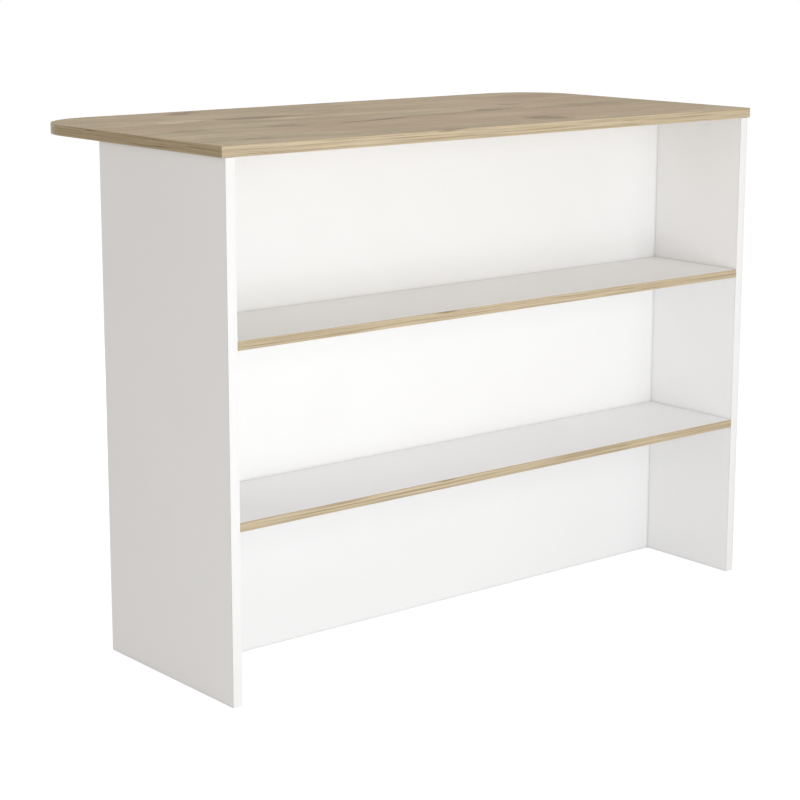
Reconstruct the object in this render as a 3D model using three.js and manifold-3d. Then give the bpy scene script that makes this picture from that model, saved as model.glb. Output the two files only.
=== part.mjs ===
// Bar counter with two fixed shelves, built from faced boards that bolt together flat-pack style.
//
// Two sides, a set-in back and two shelves make a white carcass that stands on the floor on its own
// edges. An oak-faced top lies on it, flush at the serving side and far out over the guests' knees.
// The boards meet in butt joints held by cam fittings and wooden dowels, all inside the boards.
//
// Millimetres, +Z up. The origin is on the floor under the middle of the top. -Y is the serving side
// with the open shelves, +Y the guests' side.

import * as THREE from "three";
import { mergeVertices } from "three/addons/utils/BufferGeometryUtils.js";
import Module from "manifold-3d";

const wasm = await Module();
wasm.setup();

// Top
const TOP_LENGTH = 1200;
const TOP_DEPTH = 600;
const TOP_THICKNESS = 18;
const TOP_CORNER_RADIUS = 120; // the two corners on the guests' side
const TOP_END_OVERHANG = 6; // past the outer face of each side
const COUNTER_HEIGHT = 900; // floor to the top's upper face

// Carcass
const SIDE_THICKNESS = 18;
const SIDE_DEPTH = 365;
const BACK_THICKNESS = 15;
const SHELF_THICKNESS = 15;
const SHELF_DEPTH = 212; // front edge to the back panel
const UPPER_SHELF_HEIGHT = 596; // floor to the shelf's upper face
const LOWER_SHELF_HEIGHT = 304;

// Edge bands
const BAND_THICKNESS = 1;
const BAND_ARRIS = 0.6; // rounding along the band's outer edges
const GLUE_LINE = 0.2; // between a band and its board
const BUTT_GAP = 0.2; // between two boards that meet

// Cam fittings: a drum in one board's face pulls on the head of a bolt screwed into the next board
const FIT = 0.2; // radial clearance of every fastener in its hole
const CAM_BORE = 15;
const CAM_SETBACK = 34; // board edge to drum axis
const CAM_REACH = 4.5; // drum below the bolt's axis
const CAM_SINK = 0.3; // drum face below the board's face
const CAM_LOCK_TURN = 150; // degrees that the drum has turned since it took in the head
const CHAMBER_WIDE = 5.6; // chamber radius where the head goes in
const CHAMBER_TIGHT = 4.7; // and where the head is held
const CHAMBER_SWING = 95; // degrees of chamber on the far side of the held head
const CROSS_LENGTH = 7; // screwdriver recess in the drum's face
const CROSS_WIDTH = 1.5;
const CROSS_DEPTH = 2.2;
const BOLT_HOLE = 8; // hole in the drum's board, from its edge
const BOLT_COLLAR_LENGTH = 2.2;
const BOLT_SHANK = 6;
const BOLT_NECK = 4;
const BOLT_HEAD = 6.4;
const BOLT_HEAD_LENGTH = 3.6;
const BOLT_HEAD_TAPER = 1.6; // length of the cone from neck to full head
const BOLT_THREAD = 5;
const BOLT_THREAD_LENGTH = 11;
const BOLT_TIP = 1; // chamfer at the thread's end

// Fluted wooden dowels
const DOWEL_DIAMETER = 8;
const DOWEL_LENGTH = 30;
const DOWEL_IN_FACE = 10; // depth in the board whose face is drilled
const DOWEL_CHAMFER = 1;
const DOWEL_FLUTES = 6;
const DOWEL_FLUTE_DEPTH = 0.35;
const DOWEL_HOLE_SPARE = 0.8; // hole beyond each end of the dowel

// Where the fasteners sit along each joint, from the ends of that joint
const SHELF_CAM_INSET = 45; // from the shelf's front and rear edges
const SHELF_DOWEL_INSET = 270; // from the shelf's ends, in its rear edge
const BACK_CAM_INSET = 130; // from the back's lower and upper edges
const TOP_CAM_INSET = 300; // from the back's ends, in its upper edge
const TOP_DOWEL_INSET = 60; // from the side's front edge
const RECESS_CAM_INSET = 65; // from the side's rear edge

// Fineness of the round faces
const CORNER_STEPS = 10; // for each eighth of a turn
const ARRIS_STEPS = 2;
const CAM_SIDES = 16;
const BOLT_SIDES = 8;
const HOLE_SIDES = 10;
const SECTOR_STEP = 24; // degrees
const CUT_OVERRUN = 1; // how far a cutter starts outside its board
const MERGE_TOLERANCE = 1e-4;

// Planes shared by several boards
const FRONT = -TOP_DEPTH / 2;
const UNDER_TOP = COUNTER_HEIGHT - TOP_THICKNESS;
const CARCASS_HEIGHT = UNDER_TOP - BUTT_GAP;
const SIDE_MIDDLE = TOP_LENGTH / 2 - TOP_END_OVERHANG - SIDE_THICKNESS / 2;
const SIDE_INNER = SIDE_MIDDLE - SIDE_THICKNESS / 2;
const SIDE_REAR = FRONT + SIDE_DEPTH;
const BACK_FRONT = FRONT + SHELF_DEPTH;
const BACK_MIDDLE = BACK_FRONT + BACK_THICKNESS / 2;
const INNER_LENGTH = 2 * (SIDE_INNER - BUTT_GAP);
const BAND_BED = BAND_THICKNESS + GLUE_LINE; // what a band takes off its board's core

const X = new THREE.Vector3(1, 0, 0);
const Y = new THREE.Vector3(0, 1, 0);
const Z = new THREE.Vector3(0, 0, 1);

const finish = (color, roughness, metalness = 0) =>
  new THREE.MeshStandardMaterial({ color, roughness, metalness, flatShading: true });
const OAK_FACE = finish(0xb3a48c, 0.55);
const OAK_BAND = finish(0xc9b996, 0.5);
const WHITE_FACE = finish(0xf2f0ed, 0.5);
const WHITE_BAND = finish(0xf5f4f1, 0.45);
const ZINC = finish(0xa9abac, 0.45, 0.9);
const STEEL = finish(0xc4c1b2, 0.35, 1);
const BEECH = finish(0xd2b48c, 0.8);

const counter = new THREE.Group();

// Solids

function toSolid(geometry) {
  const bare = geometry.clone();
  bare.deleteAttribute("normal");
  bare.deleteAttribute("uv");
  const merged = mergeVertices(bare, MERGE_TOLERANCE);
  return new wasm.Manifold(
    new wasm.Mesh({
      numProp: 3,
      vertProperties: merged.attributes.position.array,
      triVerts: new Uint32Array(merged.index.array),
    }),
  );
}

function toGeometry(solid) {
  const { vertProperties, triVerts } = solid.getMesh();
  const geometry = new THREE.BufferGeometry();
  geometry.setAttribute("position", new THREE.BufferAttribute(vertProperties, 3));
  geometry.setIndex(new THREE.BufferAttribute(triVerts, 1));
  geometry.computeVertexNormals();
  return geometry;
}

function addMesh(parent, name, geometry, material) {
  const mesh = new THREE.Mesh(geometry, material);
  mesh.name = name;
  parent.add(mesh);
}

// A box given by its limits along each axis.
function box([x0, x1], [y0, y1], [z0, z1]) {
  const geometry = new THREE.BoxGeometry(x1 - x0, y1 - y0, z1 - z0);
  return geometry.translate((x0 + x1) / 2, (y0 + y1) / 2, (z0 + z1) / 2);
}

// A round bar along X, and one along Z.
function rod(diameter, x0, x1, sides) {
  const geometry = new THREE.CylinderGeometry(diameter / 2, diameter / 2, x1 - x0, sides);
  return geometry.rotateZ(-Math.PI / 2).translate((x0 + x1) / 2, 0, 0);
}

function post(diameter, z0, z1, sides) {
  const geometry = new THREE.CylinderGeometry(diameter / 2, diameter / 2, z1 - z0, sides);
  return geometry.rotateX(Math.PI / 2).translate(0, 0, (z0 + z1) / 2);
}

// Boards: each lies in its group's XY plane, centred on it, with its thickness along Z

function rectangle(x0, x1, y0, y1) {
  return new THREE.Shape([
    new THREE.Vector2(x0, y0),
    new THREE.Vector2(x1, y0),
    new THREE.Vector2(x1, y1),
    new THREE.Vector2(x0, y1),
  ]);
}

// The top's plan, drawn in from its finished edge: square corners in front, round ones behind.
function topOutline(inset) {
  const right = TOP_LENGTH / 2 - inset;
  const rear = TOP_DEPTH / 2 - inset;
  const radius = TOP_CORNER_RADIUS - inset;
  const shape = new THREE.Shape();
  shape.moveTo(-right, -rear);
  shape.lineTo(right, -rear);
  shape.absarc(right - radius, rear - radius, radius, 0, Math.PI / 2);
  shape.absarc(radius - right, rear - radius, radius, Math.PI / 2, Math.PI);
  return shape;
}

// An outline made into a plate, with the edges of its two faces rounded off by arris.
function plate(outline, thickness, arris) {
  const geometry = new THREE.ExtrudeGeometry(outline, {
    depth: thickness - 2 * arris,
    bevelEnabled: arris > 0,
    bevelThickness: arris,
    bevelSize: arris,
    bevelOffset: -arris,
    bevelSegments: ARRIS_STEPS,
    curveSegments: CORNER_STEPS,
  });
  return toSolid(geometry.translate(0, 0, arris - thickness / 2));
}

const easedPlate = (outline, thickness) => plate(outline, thickness, Math.min(BAND_ARRIS, BAND_THICKNESS));

// Starts a board: a group at the board's place, turned so that its x and y run along two given axes,
// and the core solid that the fasteners' holes are drilled into.
function board(name, core, material, place, xAxis = X, yAxis = Y) {
  const group = new THREE.Group();
  group.matrix.makeBasis(xAxis, yAxis, xAxis.clone().cross(yAxis)).setPosition(...place);
  group.matrix.decompose(group.position, group.quaternion, group.scale);
  counter.add(group);
  return { name, core, material, group };
}

// A rectangular board whose edges named in bands ("front" at low y, "left" and "right" in x) are banded.
function bandedBoard(name, length, width, thickness, bands, material, bandMaterial, ...placing) {
  const [right, rear, face] = [length / 2, width / 2, thickness / 2];
  const bed = (edge) => (bands[edge] ? BAND_BED : 0);
  const core = rectangle(bed("left") - right, right - bed("right"), bed("front") - rear, rear);
  const made = board(name, plate(core, thickness, 0), material, ...placing);
  const strips = {
    front: [[-right, right], [-rear, BAND_THICKNESS - rear]],
    left: [[-right, BAND_THICKNESS - right], [-rear, rear]],
    right: [[right - BAND_THICKNESS, right], [-rear, rear]],
  };
  const whole = easedPlate(rectangle(-right, right, -rear, rear), thickness);
  for (const [edge, bandName] of Object.entries(bands)) {
    const strip = whole.intersect(toSolid(box(...strips[edge], [-face, face])));
    addMesh(made.group, bandName, toGeometry(strip), bandMaterial);
  }
  return made;
}

// The top: a core, a straight band along the serving side, and one long band round the other edges.
function makeTop() {
  const place = [0, 0, COUNTER_HEIGHT - TOP_THICKNESS / 2];
  const core = plate(topOutline(BAND_BED), TOP_THICKNESS, 0);
  const top = board("counter_top", core, OAK_FACE, place);
  const whole = easedPlate(topOutline(0), TOP_THICKNESS);
  const slice = (y0, y1) =>
    toSolid(box([-TOP_LENGTH, TOP_LENGTH], [y0, y1], [-TOP_THICKNESS, TOP_THICKNESS]));
  const front = whole.intersect(slice(-TOP_DEPTH, FRONT + BAND_THICKNESS));
  addMesh(top.group, "top_front_band", toGeometry(front), OAK_BAND);
  const inside = plate(topOutline(BAND_THICKNESS), 2 * TOP_THICKNESS, 0);
  const wrap = whole.intersect(slice(FRONT + BAND_BED, TOP_DEPTH)).subtract(inside);
  addMesh(top.group, "top_wrap_band", toGeometry(wrap), OAK_BAND);
  return top;
}

// A side stands with its x along the counter's depth and its y upwards.
function makeSide(name, sign) {
  const bands = { left: `${name}_front_band`, right: `${name}_rear_band` };
  const place = [sign * SIDE_MIDDLE, FRONT + SIDE_DEPTH / 2, CARCASS_HEIGHT / 2];
  const size = [SIDE_DEPTH, CARCASS_HEIGHT, SIDE_THICKNESS];
  return bandedBoard(`${name}_side_panel`, ...size, bands, WHITE_FACE, WHITE_BAND, place, Y, Z);
}

function makeBack() {
  const core = plate(rectangle(-INNER_LENGTH / 2, INNER_LENGTH / 2, 0, CARCASS_HEIGHT), BACK_THICKNESS, 0);
  return board("back_panel", core, WHITE_FACE, [0, BACK_MIDDLE, 0], X, Z);
}

function makeShelf(name, height) {
  const depth = SHELF_DEPTH - BUTT_GAP;
  const place = [0, FRONT + depth / 2, height - SHELF_THICKNESS / 2];
  const size = [INNER_LENGTH, depth, SHELF_THICKNESS];
  return bandedBoard(name, ...size, { front: `${name}_band` }, WHITE_FACE, OAK_BAND, place);
}

// Fasteners: each stands in a frame whose origin is on the joint, with x along the bolt or dowel into
// the board whose edge is drilled, and z out of that board's face on the drum's side

// A pie slice about Z that starts at the bolt's direction, -X. The radius may change with the angle.
function sector(radiusAt, fromDegrees, toDegrees, height) {
  const steps = Math.ceil((toDegrees - fromDegrees) / SECTOR_STEP);
  const points = [new THREE.Vector2(0, 0)];
  for (let step = 0; step <= steps; step++) {
    const degrees = fromDegrees + ((toDegrees - fromDegrees) * step) / steps;
    const angle = Math.PI + THREE.MathUtils.degToRad(degrees);
    const radius = radiusAt(degrees);
    points.push(new THREE.Vector2(radius * Math.cos(angle), radius * Math.sin(angle)));
  }
  const outline = new THREE.Shape(points);
  const geometry = new THREE.ExtrudeGeometry(outline, { depth: height, bevelEnabled: false });
  return toSolid(geometry.translate(0, 0, -height / 2));
}

// The drum, locked: the head lies in a chamber whose wall winds inwards as the drum turns, the neck
// in the slot that runs round from the mouth where the head went in.
function camGeometry(boardThickness) {
  const face = boardThickness / 2 - CAM_SINK;
  const headRoom = BOLT_HEAD + 2 * FIT;
  const neckRoom = BOLT_NECK + 2 * FIT;
  const neckSpan = [-neckRoom / 2, neckRoom / 2];
  const mouthSwing = THREE.MathUtils.radToDeg(Math.asin(headRoom / 2 / CHAMBER_WIDE));
  const winding = (CHAMBER_WIDE - CHAMBER_TIGHT) / CAM_LOCK_TURN;
  const chamberRadius = (degrees) =>
    CHAMBER_TIGHT + winding * THREE.MathUtils.clamp(degrees, 0, CAM_LOCK_TURN);
  const drum = toSolid(post(CAM_BORE - 2 * FIT, -CAM_REACH, face, CAM_SIDES));
  const chamber = sector(chamberRadius, -CHAMBER_SWING, CAM_LOCK_TURN + mouthSwing, headRoom);
  const slotEnd = toSolid(box([-CAM_BORE, 0], neckSpan, neckSpan));
  const slot = sector(() => CAM_BORE, 0, CAM_LOCK_TURN, neckRoom).add(slotEnd);
  const mouthAngle = Math.PI + THREE.MathUtils.degToRad(CAM_LOCK_TURN);
  const mouth = toSolid(rod(headRoom, 0, CAM_BORE, BOLT_SIDES).rotateZ(mouthAngle));
  const crossHeight = [face - CROSS_DEPTH, face + CUT_OVERRUN];
  const [long, short] = [CROSS_LENGTH / 2, CROSS_WIDTH / 2];
  const cross = toSolid(box([-long, long], [-short, short], crossHeight)).add(
    toSolid(box([-short, short], [-long, long], crossHeight)),
  );
  const cut = drum.subtract(chamber).subtract(slot).subtract(mouth).subtract(cross);
  return toGeometry(cut).translate(CAM_SETBACK, 0, 0);
}

// The bolt turned about X: thread, collar against the drilled face, shank, neck and tapered head.
function boltGeometry() {
  const headStart = CAM_SETBACK - CHAMBER_TIGHT + 2 * FIT;
  const shankEnd = CAM_SETBACK - CAM_BORE / 2 - FIT;
  const collarEnd = BUTT_GAP + BOLT_COLLAR_LENGTH;
  const profile = [
    [0, -BOLT_THREAD_LENGTH],
    [BOLT_THREAD / 2 - BOLT_TIP, -BOLT_THREAD_LENGTH],
    [BOLT_THREAD / 2, BOLT_TIP - BOLT_THREAD_LENGTH],
    [BOLT_THREAD / 2, BUTT_GAP],
    [BOLT_HOLE / 2 - FIT, BUTT_GAP],
    [BOLT_HOLE / 2 - FIT, collarEnd],
    [BOLT_SHANK / 2, collarEnd],
    [BOLT_SHANK / 2, shankEnd],
    [BOLT_NECK / 2, shankEnd],
    [BOLT_NECK / 2, headStart],
    [BOLT_HEAD / 2, headStart + BOLT_HEAD_TAPER],
    [BOLT_HEAD / 2, headStart + BOLT_HEAD_LENGTH],
    [0, headStart + BOLT_HEAD_LENGTH],
  ];
  const points = profile.map(([radius, along]) => new THREE.Vector2(radius, along));
  return new THREE.LatheGeometry(points, BOLT_SIDES).rotateZ(-Math.PI / 2);
}

function dowelGeometry() {
  const points = [];
  for (let i = 0; i < 2 * DOWEL_FLUTES; i++) {
    const angle = (Math.PI * i) / DOWEL_FLUTES;
    const radius = DOWEL_DIAMETER / 2 - (i % 2) * DOWEL_FLUTE_DEPTH;
    points.push(new THREE.Vector2(radius * Math.cos(angle), radius * Math.sin(angle)));
  }
  const geometry = new THREE.ExtrudeGeometry(new THREE.Shape(points), {
    depth: DOWEL_LENGTH - 2 * DOWEL_CHAMFER,
    bevelThickness: DOWEL_CHAMFER,
    bevelSize: DOWEL_CHAMFER,
    bevelOffset: -DOWEL_CHAMFER,
    bevelSegments: 1,
  });
  return geometry.translate(0, 0, DOWEL_CHAMFER - DOWEL_IN_FACE).rotateY(Math.PI / 2);
}

// Cuts a hole, given in a fastener's frame, out of a board.
function drill(target, fastener, geometry) {
  const toBoard = target.group.matrix.clone().invert().multiply(fastener.matrix);
  target.core = target.core.subtract(toSolid(geometry.clone().applyMatrix4(toBoard)));
}

// A butt joint: edgeBoard's edge against faceBoard's face. into points from the face into the edge,
// and drumSide out of the edge board's face where the drums are let in.
function joint(edgeBoard, faceBoard, thickness, into, drumSide) {
  const frameAt = (place) => {
    const group = new THREE.Group();
    group.matrix.makeBasis(into, drumSide.clone().cross(into), drumSide).setPosition(...place);
    group.matrix.decompose(group.position, group.quaternion, group.scale);
    counter.add(group);
    return group;
  };
  return {
    cam(name, place) {
      const fitting = frameAt(place);
      const boreFloor = -CAM_REACH - FIT;
      const bore = post(CAM_BORE, boreFloor, thickness / 2 + CUT_OVERRUN, CAM_SIDES);
      drill(edgeBoard, fitting, bore.translate(CAM_SETBACK, 0, 0));
      drill(edgeBoard, fitting, rod(BOLT_HOLE, -CUT_OVERRUN, CAM_SETBACK, HOLE_SIDES));
      const threadEnd = -BOLT_THREAD_LENGTH - FIT;
      drill(faceBoard, fitting, rod(BOLT_THREAD + 2 * FIT, threadEnd, CUT_OVERRUN, HOLE_SIDES));
      addMesh(fitting, `${name}_cam`, camGeometry(thickness), ZINC);
      addMesh(fitting, `${name}_bolt`, boltGeometry(), STEEL);
    },
    dowel(name, place) {
      const fitting = frameAt(place);
      const hole = DOWEL_DIAMETER + 2 * FIT;
      const edgeEnd = DOWEL_LENGTH - DOWEL_IN_FACE + DOWEL_HOLE_SPARE;
      drill(edgeBoard, fitting, rod(hole, -CUT_OVERRUN, edgeEnd, HOLE_SIDES));
      drill(faceBoard, fitting, rod(hole, -DOWEL_IN_FACE - DOWEL_HOLE_SPARE, CUT_OVERRUN, HOLE_SIDES));
      addMesh(fitting, `${name}_dowel`, dowelGeometry(), BEECH);
    },
  };
}

// Assembly

const top = makeTop();
const back = makeBack();
const sides = [
  { name: "left", sign: -1, panel: makeSide("left", -1) },
  { name: "right", sign: 1, panel: makeSide("right", 1) },
];
const shelves = [
  { name: "upper_shelf", height: UPPER_SHELF_HEIGHT },
  { name: "lower_shelf", height: LOWER_SHELF_HEIGHT },
].map(({ name, height }) => ({
  name,
  middle: height - SHELF_THICKNESS / 2,
  panel: makeShelf(name, height),
}));

const DOWN = Z.clone().negate();
const FORWARD = Y.clone().negate();

for (const side of sides) {
  const inward = X.clone().multiplyScalar(-side.sign);
  const innerFace = side.sign * SIDE_INNER;

  // Shelf ends: drums underneath, near the front and the rear, with a dowel between them.
  for (const shelf of shelves) {
    const ends = joint(shelf.panel, side.panel, SHELF_THICKNESS, inward, DOWN);
    const name = `${shelf.name}_${side.name}`;
    ends.cam(`${name}_front`, [innerFace, FRONT + SHELF_CAM_INSET, shelf.middle]);
    ends.cam(`${name}_rear`, [innerFace, BACK_FRONT - SHELF_CAM_INSET, shelf.middle]);
    ends.dowel(name, [innerFace, (FRONT + BACK_FRONT) / 2, shelf.middle]);
  }

  // Back panel's ends: drums on the guests' side, with a dowel half way up.
  const backEnd = joint(back, side.panel, BACK_THICKNESS, inward, Y);
  backEnd.cam(`back_${side.name}_lower`, [innerFace, BACK_MIDDLE, BACK_CAM_INSET]);
  backEnd.cam(`back_${side.name}_upper`, [innerFace, BACK_MIDDLE, CARCASS_HEIGHT - BACK_CAM_INSET]);
  backEnd.dowel(`back_${side.name}`, [innerFace, BACK_MIDDLE, CARCASS_HEIGHT / 2]);

  // Side's upper edge: a drum in the knee recess, and a dowel near the front.
  const sideTop = joint(side.panel, top, SIDE_THICKNESS, DOWN, inward);
  const sideMiddle = side.sign * SIDE_MIDDLE;
  sideTop.cam(`top_${side.name}`, [sideMiddle, SIDE_REAR - RECESS_CAM_INSET, UNDER_TOP]);
  sideTop.dowel(`top_${side.name}`, [sideMiddle, FRONT + TOP_DOWEL_INSET, UNDER_TOP]);

  // Back panel's upper edge: a drum on the guests' side.
  const backTop = joint(back, top, BACK_THICKNESS, DOWN, Y);
  const backTopPlace = [side.sign * (INNER_LENGTH / 2 - TOP_CAM_INSET), BACK_MIDDLE, UNDER_TOP];
  backTop.cam(`top_back_${side.name}`, backTopPlace);

  // Shelf's rear edge: a dowel into the back panel keeps the long span from sagging.
  for (const shelf of shelves) {
    const rear = joint(shelf.panel, back, SHELF_THICKNESS, FORWARD, DOWN);
    const along = side.sign * (INNER_LENGTH / 2 - SHELF_DOWEL_INSET);
    rear.dowel(`${shelf.name}_rear_${side.name}`, [along, BACK_FRONT, shelf.middle]);
  }
}

for (const made of [top, back, ...sides.map((s) => s.panel), ...shelves.map((s) => s.panel)]) {
  addMesh(made.group, made.name, toGeometry(made.core), made.material);
}

export default counter;
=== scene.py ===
"""Looks of the bar counter: faced boards, edge bands, hidden fittings, studio and camera.

Everything is in metres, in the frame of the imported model: the floor is z = 0, -Y is the serving
side with the shelves, +Y the guests' side. Materials are procedural and read that frame through
object coordinates. Only the figures of the oak decor are listed in millimetres.
"""
import math

import bpy
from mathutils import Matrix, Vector


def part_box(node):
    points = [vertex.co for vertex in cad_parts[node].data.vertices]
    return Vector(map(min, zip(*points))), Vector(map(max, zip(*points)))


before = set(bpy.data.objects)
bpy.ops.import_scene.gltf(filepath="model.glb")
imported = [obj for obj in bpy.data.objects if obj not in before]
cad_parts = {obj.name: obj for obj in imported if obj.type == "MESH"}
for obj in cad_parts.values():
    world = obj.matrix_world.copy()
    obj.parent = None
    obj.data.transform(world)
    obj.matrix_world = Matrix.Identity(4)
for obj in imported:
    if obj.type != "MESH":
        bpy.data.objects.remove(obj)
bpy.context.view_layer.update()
scene = bpy.context.scene

# Camera, solved from the straight board edges in the photograph
CAMERA_PLACE = (-2.3837, -2.8887, 1.1994)
CAMERA_YAW = 39.1243  # degrees to the right of +Y
CAMERA_PITCH = 11.3385  # degrees down
CAMERA_SENSOR = 36.0  # mm
CAMERA_LENS = 93.0365  # mm
CAMERA_SHIFT = (0.0166, -0.0508)  # the upright edges meet less than the pitch alone makes them

# Studio
SKY_STRENGTH = 0.625
SKY_COLOUR = (1.0, 0.965, 0.924, 1.0)
SKY_SEEN = (1.0, 1.0, 1.0, 1.0)
LAMP_SIZE = (1.4, 0.8)
LAMP_TARGET = (0.0, -0.1, 0.5)
LAMP_COLOUR = (0.941, 0.967, 1.0)
LAMPS = {  # place, and power in watts
    "key": ((-0.8, -2.2, 0.42), 13.9),
    "fill": ((0.5, -2.2, 1.0), 8.5),
    "rear": ((0.0, 2.4, 0.8), 8.0),
}
FLOOR_SIZE = 60.0
FLOOR_DROP = 0.0005  # keeps the floor just clear of the boards' lower edges
FLOOR_COLOUR = (0.85, 0.85, 0.85, 1.0)
FLOOR_SHADE = (0.73, 0.757, 0.79, 1.0)  # the part of what the camera sees that takes the shadow
FLOOR_GLOW = 0.57  # and the part that doesn't

# Colours, linear
WHITE = (0.95, 0.947, 0.944, 1.0)
WHITE_DULL = (0.94, 0.937, 0.933, 1.0)
# painted shade: the white boards darken towards this colour near inside corners and where parts
# meet
WHITE_PAINTED_SHADE = (0.8, 0.795, 0.79, 1.0)
BAND_WHITE = (0.9, 0.898, 0.895, 1.0)
BAND_WHITE_DULL = (0.87, 0.868, 0.864, 1.0)
OAK_GLEAM = (0.88, 0.77, 0.585, 1.0)
OAK_PALE = (0.685, 0.577, 0.404, 1.0)
OAK_MID = (0.533, 0.445, 0.3, 1.0)
OAK_WARM = (0.605, 0.465, 0.325, 1.0)
OAK_DARK = (0.375, 0.29, 0.2, 1.0)
OAK_MARK = (0.18, 0.125, 0.07, 1.0)
BACKING = (0.69, 0.63, 0.545, 1.0)
BACKING_DULL = (0.66, 0.6, 0.515, 1.0)
EDGE_PALE = (0.64, 0.532, 0.366, 1.0)
EDGE_MID = (0.52, 0.424, 0.277, 1.0)
EDGE_WARM = (0.605, 0.488, 0.338, 1.0)
EDGE_DARK = (0.31, 0.233, 0.143, 1.0)
WRAP_TONE = (0.775, 0.75, 0.68, 1.0)  # the wrapped strip is darker than the straight ones
CHIP_PALE = (0.62, 0.46, 0.27, 1.0)
CHIP_DARK = (0.36, 0.24, 0.13, 1.0)
ZINC_PALE = (0.62, 0.63, 0.65, 1.0)
ZINC_DARK = (0.4, 0.41, 0.43, 1.0)
STEEL_PALE = (0.72, 0.69, 0.58, 1.0)
STEEL_DARK = (0.5, 0.46, 0.34, 1.0)
BEECH_PALE = (0.66, 0.45, 0.27, 1.0)
BEECH_DARK = (0.5, 0.31, 0.17, 1.0)

# Roughness where a surface's finest texture is low, and where it is high
BOARD_ROUGHNESS = (0.5, 0.62)
BAND_ROUGHNESS = (0.44, 0.56)
OAK_ROUGHNESS = (0.58, 0.72)
EDGE_ROUGHNESS = (0.52, 0.66)
ZINC_ROUGHNESS = (0.52, 0.34)
STEEL_ROUGHNESS = (0.4, 0.24)
BEECH_ROUGHNESS = (0.72, 0.58)

# Depth of the relief that light picks out
WHITE_RELIEF = 0.00002
OAK_RELIEF = 0.00008
EDGE_RELIEF = 0.00005
ZINC_RELIEF = 0.00006
STEEL_RELIEF = 0.00003
BEECH_RELIEF = 0.00005

WHITE_SHEEN = 0.3  # faced boards are duller than bare plastic
OAK_SHEEN = 0.2
PAINTED_SHADE_REACH = 0.008  # painted shade darkens the white boards this near to an inside corner
PAINTED_SHADE_SAMPLES = 8
ARRIS_START = 0.0016  # a band is rubbed from this far to its edge
ARRIS_FULL = 0.0003  # and most of all within this
BAND_RUB = 0.35  # how far the rub dulls a white band
FACE_TURN = (0.4, 0.6)  # a normal's share along the faced axis: bare board, then decor
CHIPS_PER_METRE = 260.0
CHIP_SPREAD = 3.0  # sets the tones of neighbouring chips further apart
PORE_TINT = 0.5  # how far a pore darkens the decor
FIBRE_RELIEF = 0.35  # how far the fibres stand up, as a share of a pore's depth
RING_SCALE = 18.0  # a ring every 2 pi / (20 x this) metres, about 17 mm
RING_STRETCH = (0.16, 1, 1)
RING_BEND = 0.042  # how far the rings turn aside at a full flame
SPOT_CORE = 0.3  # a spot of the decor is full up to this share of its half sizes
SPOT_RIM = 1.3  # and gone past this share
SMOOTH_LIMIT = math.radians(30)
WELD_REACH = 1e-6
MM_PER_METRE = 1000

# Figure of the worktop's decor, in mm and degrees:
# middle x, y, half length, half width, tilt, strength
OAK_FLAMES = (
    (-245, 98, 120, 20, -4, 0.8),
    (-100, -68, 125, 12, 7, 0.95),
    (205, -22, 85, 24, 8, 0.8),
    (60, -45, 200, 8, 8, 0.5),
    (-85, 112, 50, 12, 0, 0.45),
    (-300, -65, 42, 30, 10, 0.42),
    (-492, -48, 36, 30, 20, 0.35),
    (-485, -225, 38, 18, 10, 0.45),
    (152, -222, 40, 48, 40, 0.8),
    (303, 50, 22, 19, 30, 0.6),
    (-305, 258, 50, 26, 25, 0.7),
    (-130, -294, 34, 10, 0, 0.8),
    (430, -35, 140, 40, 4, 0.35),
    (480, 195, 100, 50, 0, 0.3),
)
OAK_GLEAMS = (
    (-428, 104, 32, 20, -25, 1.0),
    (-391, 100, 16, 15, 10, 0.9),
    (-366, 116, 28, 11, -20, 0.9),
    (-344, 108, 16, 12, 15, 0.9),
    (120, -115, 110, 30, 4, 0.35),
    (-215, 60, 55, 24, 10, 0.4),
    (-480, -205, 34, 16, 10, 0.4),
)

# Dashes in the bands' decor, in mm:
# middle along the band, drop from its upper edge, half length, half height, strength
FRONT_DASHES = (
    (-147, 1.5, 30, 1.2, 0.8),
    (-216, 7.6, 75, 0.8, 0.5),
    (-421, 7.2, 100, 0.8, 0.35),
    (-480, 14.4, 110, 1.0, 0.35),
    (283, 6.4, 24, 1.1, 0.5),
    (449, 6.7, 60, 0.8, 0.45),
    (262, 12.2, 45, 0.8, 0.5),
    (290, 14.6, 35, 0.8, 0.45),
)
END_DASHES = (
    (82, 2.2, 16, 1.3, 0.8),
    (124, 9.6, 42, 0.9, 0.45),
    (-127, 13.0, 28, 1.0, 0.6),
    (-135, 9.0, 22, 0.8, 0.45),
    (-225, 7.0, 32, 0.8, 0.4),
)


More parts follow.
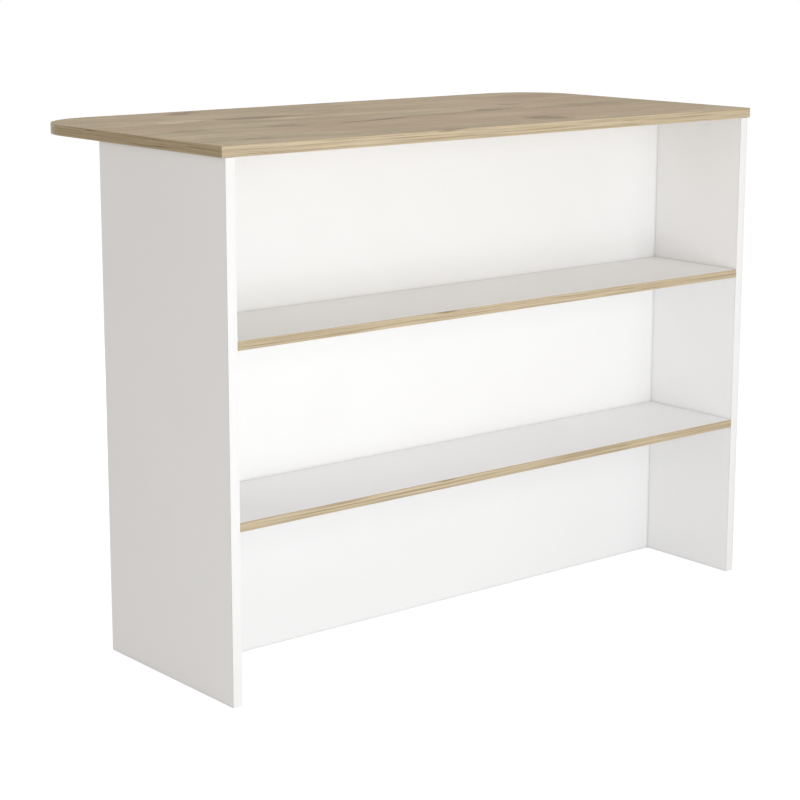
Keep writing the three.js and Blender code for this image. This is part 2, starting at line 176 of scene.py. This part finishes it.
class Graph:
    """A material's node tree, with short ways to add to it."""

    def __init__(self, name):
        self.material = bpy.data.materials.new(name)
        self.material.use_nodes = True
        self.tree = self.material.node_tree
        self.shader = self.tree.nodes["Principled BSDF"]

    def feed(self, socket, value):
        """Links a socket to value, or sets it where value is a number or colour."""
        if isinstance(value, bpy.types.NodeSocket):
            self.tree.links.new(value, socket)
        else:
            socket.default_value = value

    def add(self, kind, inputs, **settings):
        node = self.tree.nodes.new(kind)
        for name, value in settings.items():
            setattr(node, name, value)
        for name, value in inputs.items():
            self.feed(node.inputs[name], value)
        return node

    def coordinates(self, output="Object"):
        return self.add("ShaderNodeTexCoord", {}).outputs[output]

    def axis(self, name, output="Object"):
        split = self.add("ShaderNodeSeparateXYZ", {"Vector": self.coordinates(output)})
        return split.outputs[name]

    def mapped(self, scale, location=(0, 0, 0), vector=None):
        inputs = {"Vector": vector or self.coordinates(), "Scale": scale, "Location": location}
        return self.add("ShaderNodeMapping", inputs).outputs[0]

    def noise(self, stretch, detail=3.0, roughness=0.55, vector=None, shift=(0, 0, 0)):
        """Noise with stretch features per metre along each axis."""
        inputs = {
            "Vector": self.mapped(stretch, shift, vector),
            "Scale": 1.0,
            "Detail": detail,
            "Roughness": roughness,
        }
        return self.add("ShaderNodeTexNoise", inputs).outputs["Fac"]

    def math(self, operation, first, second=0.0):
        node = self.add("ShaderNodeMath", {0: first, 1: second}, operation=operation)
        return node.outputs[0]

    def times(self, first, second):
        return self.math("MULTIPLY", first, second)

    def vector_math(self, operation, first, second=(0, 0, 0)):
        node = self.add("ShaderNodeVectorMath", {0: first, 1: second}, operation=operation)
        return node.outputs[0]

    def fade(self, value, low, high, out_low=0.0, out_high=1.0):
        """Value's way from low to high, as a smooth step from out_low to out_high."""
        inputs = {
            "Value": value,
            "From Min": low,
            "From Max": high,
            "To Min": out_low,
            "To Max": out_high,
        }
        return self.add("ShaderNodeMapRange", inputs, interpolation_type="SMOOTHSTEP").outputs[0]

    def mix(self, factor, first, second, blend="MIX"):
        node = self.add("ShaderNodeMix", {}, data_type="RGBA", blend_type=blend)
        for name, value in (("Factor_Float", factor), ("A_Color", first), ("B_Color", second)):
            self.feed(next(i for i in node.inputs if i.identifier == name), value)
        return next(o for o in node.outputs if o.identifier == "Result_Color")

    def tint(self, colour, tone, value, low, high, strength):
        """Colour, turned towards tone by up to strength as value goes from low to high."""
        return self.mix(self.fade(value, low, high, 0.0, strength), colour, tone)

    def wandered(self, stretch, reach):
        """Object coordinates, moved by slow noise, up to half of reach along each axis."""
        inputs = {"Vector": self.mapped(stretch), "Scale": 1.0, "Detail": 2.0}
        drift = self.add("ShaderNodeTexNoise", inputs).outputs["Color"]
        centred = self.vector_math("SUBTRACT", drift, (0.5, 0.5, 0.5))
        moved = self.vector_math("MULTIPLY", centred, reach)
        return self.vector_math("ADD", self.coordinates(), moved)

    def ellipse(self, middle, half, vector, tilt=0.0):
        """1 in the middle of an ellipse, easing to 0 beyond its outline.

        It reaches all along an axis whose half size is 0.
        """
        inputs = {"Vector": vector, "Location": middle, "Rotation": (0, 0, tilt), "Scale": half}
        place = self.add("ShaderNodeMapping", inputs, vector_type="TEXTURE").outputs[0]
        length = self.add("ShaderNodeVectorMath", {0: place}, operation="LENGTH")
        return self.fade(length.outputs["Value"], SPOT_CORE, SPOT_RIM, 1.0, 0.0)

    def bump(self, height, depth):
        inputs = {"Height": height, "Distance": depth, "Strength": 1.0}
        self.set("Normal", self.add("ShaderNodeBump", inputs).outputs[0])

    def set(self, name, value):
        self.feed(self.shader.inputs[name], value)


def arris(graph, node, axis):
    """1 along the two eased edges of a band, which lie at the ends of its box along one axis."""
    index = "XYZ".index(axis)
    low, high = (corner[index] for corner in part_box(node))
    offset = graph.math("SUBTRACT", graph.axis(axis), (low + high) / 2)
    half = (high - low) / 2
    return graph.fade(graph.math("ABSOLUTE", offset), half - ARRIS_START, half - ARRIS_FULL)


def chipboard(graph):
    """Pressed chips, a few millimetres long, as a bare board edge or a bore's wall shows them."""
    inputs = {"Vector": graph.coordinates(), "Scale": CHIPS_PER_METRE}
    chips = graph.add("ShaderNodeTexVoronoi", inputs).outputs["Color"]
    chip_tone = graph.math("FRACT", graph.times(chips, CHIP_SPREAD))
    dust = graph.noise((900, 900, 900))
    return graph.mix(graph.fade(graph.times(chip_tone, dust), 0.05, 0.45), CHIP_DARK, CHIP_PALE)


def white_board(name, face_axis):
    """White melamine on the faces across face_axis, with painted shade near inside corners, bare
    chipboard on the rest.
    """
    graph = Graph(name)
    cloud = graph.noise((5, 5, 5), detail=2)
    pearl = graph.noise((520, 520, 520), detail=2)
    # painted shade: ambient occlusion from nearby surfaces, used to darken the white near inside
    # corners
    inputs = {"Distance": PAINTED_SHADE_REACH}
    painted_shade_ao = graph.add("ShaderNodeAmbientOcclusion", inputs, samples=PAINTED_SHADE_SAMPLES).outputs["AO"]
    facing = graph.math("ABSOLUTE", graph.axis(face_axis, "Normal"))

    white = graph.mix(graph.fade(cloud, 0.35, 0.65), WHITE_DULL, WHITE)
    # painted shade in inside corners and between parts, put into the base colour
    white = graph.mix(graph.fade(painted_shade_ao, 0.3, 0.95), WHITE_PAINTED_SHADE, white)
    graph.set("Base Color", graph.mix(graph.fade(facing, *FACE_TURN), chipboard(graph), white))
    graph.set("Roughness", graph.fade(pearl, 0.3, 0.7, *BOARD_ROUGHNESS))
    graph.set("Specular IOR Level", WHITE_SHEEN)
    graph.bump(pearl, WHITE_RELIEF)
    return graph.material


def white_band(node):
    """White plastic edging: a fine drawn texture along it, duller along its rubbed edges."""
    graph = Graph(node + "_white")
    drawn = graph.noise((900, 900, 30), detail=2)
    wear = graph.fade(graph.noise((40, 40, 12)), 0.35, 0.65)
    rub = graph.times(arris(graph, node, "X"), wear)

    tone = graph.mix(graph.fade(drawn, 0.3, 0.7), BAND_WHITE_DULL, BAND_WHITE)
    graph.set("Base Color", graph.mix(graph.times(rub, BAND_RUB), tone, BAND_WHITE_DULL))
    graph.set("Roughness", graph.fade(drawn, 0.25, 0.75, *BAND_ROUGHNESS))
    graph.set("Specular IOR Level", WHITE_SHEEN)
    graph.bump(drawn, WHITE_RELIEF)
    return graph.material


def strongest(graph, spots):
    """The highest of the values that a list of pairs of value and strength gives."""
    total = None
    for value, strength in spots:
        spot = graph.times(value, strength)
        total = spot if total is None else graph.math("MAXIMUM", total, spot)
    return total


def oak_spots(graph, place, spots):
    """How strongly a list of spots marks the worktop's decor: 0 in the plain grain."""
    found = []
    for x, y, half_length, half_width, tilt, strength in spots:
        middle = (x / MM_PER_METRE, y / MM_PER_METRE, 0)
        half = (half_length / MM_PER_METRE, half_width / MM_PER_METRE, 0)
        found.append((graph.ellipse(middle, half, place, math.radians(tilt)), strength))
    return strongest(graph, found)


def band_dashes(graph, node, place, axis, dashes):
    """How strongly a list of dashes marks the decor of a band that runs along one axis."""
    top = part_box(node)[1][2]
    along = Vector([letter == axis for letter in "XYZ"])
    found = []
    for middle, drop, half_length, half_height, strength in dashes:
        spot = along * middle / MM_PER_METRE + Vector((0, 0, top - drop / MM_PER_METRE))
        half = along * half_length / MM_PER_METRE + Vector((0, 0, half_height / MM_PER_METRE))
        found.append((graph.ellipse(spot, half, place), strength))
    return strongest(graph, found)


def oak_rings(graph, place, flames):
    """Growth rings along the counter, which bend round the flames; 1 at a ring's dark edge."""
    aside = graph.times(flames, RING_BEND)
    bend = graph.add("ShaderNodeCombineXYZ", {"Y": aside}).outputs[0]
    inputs = {
        "Vector": graph.mapped(RING_STRETCH, vector=graph.vector_math("ADD", place, bend)),
        "Scale": RING_SCALE,
        "Distortion": 16.0,
        "Detail": 3.0,
        "Detail Scale": 0.3,
        "Detail Roughness": 0.55,
    }
    rings = graph.add("ShaderNodeTexWave", inputs, bands_direction="Y", wave_profile="SAW")
    return rings.outputs["Fac"]


def oak_top(name):
    """Oak decor with its grain along the counter and pores pressed in, over a backing sheet."""
    graph = Graph(name)
    place = graph.wandered((2.2, 6, 6), (0.0, 0.05, 0.0))
    ragged = graph.wandered((16, 70, 70), (0.09, 0.022, 0.0))
    flames = oak_spots(graph, ragged, OAK_FLAMES)
    gleams = oak_spots(graph, ragged, OAK_GLEAMS)
    rings = oak_rings(graph, place, flames)
    tone = graph.noise((2.4, 10, 10), detail=3, vector=place)
    warmth = graph.noise((2.0, 8, 8), detail=2, vector=place, shift=(3, 1, 0))
    streak = graph.noise((4.5, 75, 75), detail=4, roughness=0.6, vector=place)
    dash = graph.noise((10, 170, 170), detail=2, vector=place)
    fleck = graph.noise((5, 140, 140), detail=2, vector=place, shift=(5, 2, 0))
    curl = graph.noise((26, 120, 120), detail=2, vector=place, shift=(1, 4, 0))
    fibre = graph.noise((16, 620, 620), detail=3, vector=place)
    pore = graph.fade(graph.noise((70, 1500, 1500), detail=1, vector=place), 0.6, 0.72)

    colour = graph.mix(graph.fade(tone, 0.34, 0.66), OAK_MID, OAK_PALE)
    colour = graph.tint(colour, OAK_WARM, warmth, 0.42, 0.62, 0.8)
    colour = graph.tint(colour, OAK_DARK, streak, 0.5, 0.75, 0.5)
    colour = graph.tint(colour, OAK_GLEAM, fleck, 0.5, 0.72, 0.5)
    colour = graph.tint(colour, OAK_DARK, dash, 0.58, 0.72, 0.55)
    lines = graph.times(graph.fade(rings, 0.45, 1.0), graph.fade(tone, 0.3, 0.7, 0.42, 0.16))
    colour = graph.mix(lines, colour, OAK_DARK)
    curls = graph.times(gleams, graph.fade(curl, 0.4, 0.56, 0.25, 1.0))
    colour = graph.mix(curls, colour, OAK_GLEAM)
    ring_share = graph.fade(rings, 0.2, 1.0, 0.1, 0.5)
    dash_share = graph.fade(dash, 0.38, 0.6, 0.1, 0.6)
    figure = graph.times(flames, graph.math("ADD", ring_share, dash_share))
    colour = graph.mix(figure, colour, OAK_MARK)
    colour = graph.tint(colour, OAK_DARK, fibre, 0.45, 0.8, 0.4)
    colour = graph.mix(graph.times(pore, PORE_TINT), colour, OAK_MARK)

    upward = graph.axis("Z", "Normal")
    facing = graph.math("ABSOLUTE", upward)
    speckle = graph.noise((240, 240, 240))
    sheet = graph.mix(graph.fade(speckle, 0.3, 0.7), BACKING_DULL, BACKING)
    colour = graph.mix(graph.fade(upward, -0.6, -0.4), sheet, colour)
    graph.set("Base Color", graph.mix(graph.fade(facing, *FACE_TURN), chipboard(graph), colour))
    graph.set("Roughness", graph.fade(fibre, 0.25, 0.75, *OAK_ROUGHNESS))
    graph.set("Specular IOR Level", OAK_SHEEN)
    graph.bump(graph.math("SUBTRACT", graph.times(fibre, FIBRE_RELIEF), pore), OAK_RELIEF)
    return graph.material


def oak_band(node, axis, dashes, tone=None):
    """Oak edging: long streaks and dashes over its height, paler along its rubbed edges."""
    graph = Graph(node + "_oak")
    place = graph.wandered((2.5, 2.5, 30), (0.0, 0.0, 0.007))
    ragged = graph.wandered((30, 30, 300), (0.03, 0.03, 0.0015))
    marks = band_dashes(graph, node, ragged, axis, dashes)
    layer = graph.noise((1.8, 1.8, 260), detail=2, vector=place)
    blush = graph.noise((2.2, 2.2, 110), detail=2, vector=place, shift=(2, 5, 1))
    streak = graph.noise((3.5, 3.5, 480), detail=2, roughness=0.6, vector=place)
    line = graph.noise((5, 5, 800), detail=2, vector=place, shift=(7, 3, 2))
    fibre = graph.noise((30, 30, 2200), detail=2, vector=place)
    rub = graph.times(arris(graph, node, "Z"), graph.fade(streak, 0.35, 0.65, 0.5, 0.15))

    colour = graph.mix(graph.fade(layer, 0.33, 0.67), EDGE_MID, EDGE_PALE)
    colour = graph.tint(colour, EDGE_WARM, blush, 0.45, 0.65, 0.7)
    colour = graph.tint(colour, EDGE_DARK, streak, 0.5, 0.64, 0.65)
    colour = graph.tint(colour, EDGE_DARK, line, 0.56, 0.7, 0.75)
    colour = graph.tint(colour, EDGE_DARK, fibre, 0.5, 0.8, 0.35)
    broken = graph.times(marks, graph.fade(line, 0.3, 0.6, 0.5, 1.0))
    colour = graph.mix(broken, colour, OAK_MARK)
    if tone:
        colour = graph.mix(1.0, colour, tone, "MULTIPLY")
    graph.set("Base Color", graph.mix(rub, colour, EDGE_PALE))
    graph.set("Roughness", graph.fade(streak, 0.25, 0.75, *EDGE_ROUGHNESS))
    graph.set("Specular IOR Level", OAK_SHEEN)
    graph.bump(fibre, EDGE_RELIEF)
    return graph.material


def metal(name, dark, pale, stretch, roughness, relief):
    """Bare metal with a mottled surface."""
    graph = Graph(name)
    mottle = graph.noise(stretch, detail=4)
    graph.set("Base Color", graph.mix(graph.fade(mottle, 0.3, 0.7), dark, pale))
    graph.set("Metallic", 1.0)
    graph.set("Roughness", graph.fade(mottle, 0.3, 0.7, *roughness))
    graph.bump(mottle, relief)
    return graph.material


def beech(name):
    """Turned beech with short dark flecks."""
    graph = Graph(name)
    grain = graph.noise((90, 700, 700), detail=3)
    fleck = graph.noise((300, 1800, 1800), detail=1)
    colour = graph.mix(graph.fade(grain, 0.3, 0.7), BEECH_DARK, BEECH_PALE)
    graph.set("Base Color", graph.tint(colour, BEECH_DARK, fleck, 0.62, 0.7, 0.5))
    graph.set("Roughness", graph.fade(grain, 0.3, 0.7, *BEECH_ROUGHNESS))
    graph.bump(grain, BEECH_RELIEF)
    return graph.material


def paint(names, material):
    for name in names:
        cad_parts[name].material_slots[0].material = material


def by_ending(*endings):
    return [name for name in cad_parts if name.endswith(endings)]


def paint_boards():
    paint(["counter_top"], oak_top("oak_top"))
    paint(["left_side_panel", "right_side_panel"], white_board("white_sides", "X"))
    paint(["back_panel"], white_board("white_back", "Y"))
    paint(["upper_shelf", "lower_shelf"], white_board("white_shelves", "Z"))


def paint_bands():
    for name in ("top_front_band", "upper_shelf_band", "lower_shelf_band"):
        paint([name], oak_band(name, "X", FRONT_DASHES))
    paint(["top_wrap_band"], oak_band("top_wrap_band", "Y", END_DASHES, WRAP_TONE))
    for name in by_ending("_front_band", "_rear_band"):
        if name.startswith(("left", "right")):
            paint([name], white_band(name))


def paint_fittings():
    zinc = metal("zinc", ZINC_DARK, ZINC_PALE, (600, 600, 600), ZINC_ROUGHNESS, ZINC_RELIEF)
    steel = metal("steel", STEEL_DARK, STEEL_PALE, (400, 400, 400), STEEL_ROUGHNESS, STEEL_RELIEF)
    paint(by_ending("_cam"), zinc)
    paint(by_ending("_bolt"), steel)
    paint(by_ending("_dowel"), beech("beech"))


def smoothing(limit):
    """A modifier's node tree: welds a mesh and shades it smooth, but for edges past limit."""
    tree = bpy.data.node_groups.new("smoothing", "GeometryNodeTree")
    for way in ("INPUT", "OUTPUT"):
        tree.interface.new_socket("Geometry", in_out=way, socket_type="NodeSocketGeometry")
    nodes, links = tree.nodes, tree.links
    weld = nodes.new("GeometryNodeMergeByDistance")
    weld.inputs["Distance"].default_value = WELD_REACH
    bare = nodes.new("GeometryNodeRemoveAttribute")
    bare.inputs["Name"].default_value = "custom_normal"
    soft = nodes.new("GeometryNodeSetShadeSmooth")
    sharp = nodes.new("GeometryNodeSetShadeSmooth")
    sharp.domain = "EDGE"
    sharp.inputs["Shade Smooth"].default_value = False
    steep = nodes.new("FunctionNodeCompare")
    steep.inputs["B"].default_value = limit
    angle = nodes.new("GeometryNodeInputMeshEdgeAngle")
    links.new(angle.outputs["Unsigned Angle"], steep.inputs["A"])
    links.new(steep.outputs[0], sharp.inputs["Selection"])
    start, end = nodes.new("NodeGroupInput"), nodes.new("NodeGroupOutput")
    chain = [start, weld, bare, soft, sharp, end]
    for first, second in zip(chain, chain[1:]):
        links.new(first.outputs["Geometry"], second.inputs["Geometry"])
    return tree


def smooth_nodes():
    tree = smoothing(SMOOTH_LIMIT)
    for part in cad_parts.values():
        part.modifiers.new("smoothing", "NODES").node_group = tree


def seen_directly(tree):
    """1 for rays that show the background: from the camera, or by way of a mirror or glass."""
    path = tree.nodes.new("ShaderNodeLightPath")
    total = path.outputs["Is Camera Ray"]
    for name in ("Is Glossy Ray", "Is Transmission Ray"):
        either = tree.nodes.new("ShaderNodeMath")
        either.operation = "MAXIMUM"
        tree.links.new(total, either.inputs[0])
        tree.links.new(path.outputs[name], either.inputs[1])
        total = either.outputs[0]
    return total


def split_by_ray(tree, unseen, seen, output):
    """Feeds output from seen for rays that show the background, and from unseen for the rest."""
    mix = tree.nodes.new("ShaderNodeMixShader")
    tree.links.new(seen_directly(tree), mix.inputs[0])
    tree.links.new(unseen.outputs[0], mix.inputs[1])
    tree.links.new(seen.outputs[0], mix.inputs[2])
    tree.links.new(mix.outputs[0], tree.nodes[output].inputs[0])


def make_world():
    """A soft even sky that looks white."""
    world = bpy.data.worlds.new("studio")
    world.use_nodes = True
    tree = world.node_tree
    light = tree.nodes["Background"]
    light.inputs["Color"].default_value = SKY_COLOUR
    light.inputs["Strength"].default_value = SKY_STRENGTH
    white = tree.nodes.new("ShaderNodeBackground")
    white.inputs["Color"].default_value = SKY_SEEN
    split_by_ray(tree, light, white, "World Output")
    scene.world = world


def make_floor():
    """A pale floor, white to the eye but for the counter's faint shadow."""
    bpy.ops.mesh.primitive_plane_add(size=FLOOR_SIZE, location=(0, 0, -FLOOR_DROP))
    floor = bpy.context.object
    floor.name = "floor"
    material = bpy.data.materials.new("floor")
    material.use_nodes = True
    tree = material.node_tree
    tree.nodes.remove(tree.nodes["Principled BSDF"])
    plain = tree.nodes.new("ShaderNodeBsdfDiffuse")
    plain.inputs["Color"].default_value = FLOOR_COLOUR
    shade = tree.nodes.new("ShaderNodeBsdfDiffuse")
    shade.inputs["Color"].default_value = FLOOR_SHADE
    glow = tree.nodes.new("ShaderNodeEmission")
    glow.inputs["Strength"].default_value = FLOOR_GLOW
    both = tree.nodes.new("ShaderNodeAddShader")
    tree.links.new(shade.outputs[0], both.inputs[0])
    tree.links.new(glow.outputs[0], both.inputs[1])
    split_by_ray(tree, plain, both, "Material Output")
    floor.data.materials.append(material)


def aim(thing, place, ahead):
    """Puts a lamp or camera in the scene, looking along ahead."""
    thing.location = place
    thing.rotation_euler = Vector(ahead).to_track_quat("-Z", "Y").to_euler()
    scene.collection.objects.link(thing)


def make_lamps():
    for name, (place, power) in LAMPS.items():
        data = bpy.data.lights.new(name, "AREA")
        data.shape = "RECTANGLE"
        data.size, data.size_y = LAMP_SIZE
        data.energy = power
        data.color = LAMP_COLOUR
        lamp = bpy.data.objects.new(name, data)
        lamp.visible_camera = False
        aim(lamp, place, Vector(LAMP_TARGET) - Vector(place))


def make_camera():
    data = bpy.data.cameras.new("camera")
    data.lens = CAMERA_LENS
    data.sensor_width = CAMERA_SENSOR
    data.shift_x, data.shift_y = CAMERA_SHIFT
    yaw, pitch = math.radians(CAMERA_YAW), math.radians(CAMERA_PITCH)
    level = math.cos(pitch)
    camera = bpy.data.objects.new("camera", data)
    ahead = (math.sin(yaw) * level, math.cos(yaw) * level, -math.sin(pitch))
    aim(camera, CAMERA_PLACE, ahead)
    scene.camera = camera


scene.view_settings.view_transform = "Standard"
make_camera()
make_world()
make_floor()
make_lamps()
paint_boards()
paint_bands()
paint_fittings()
smooth_nodes()
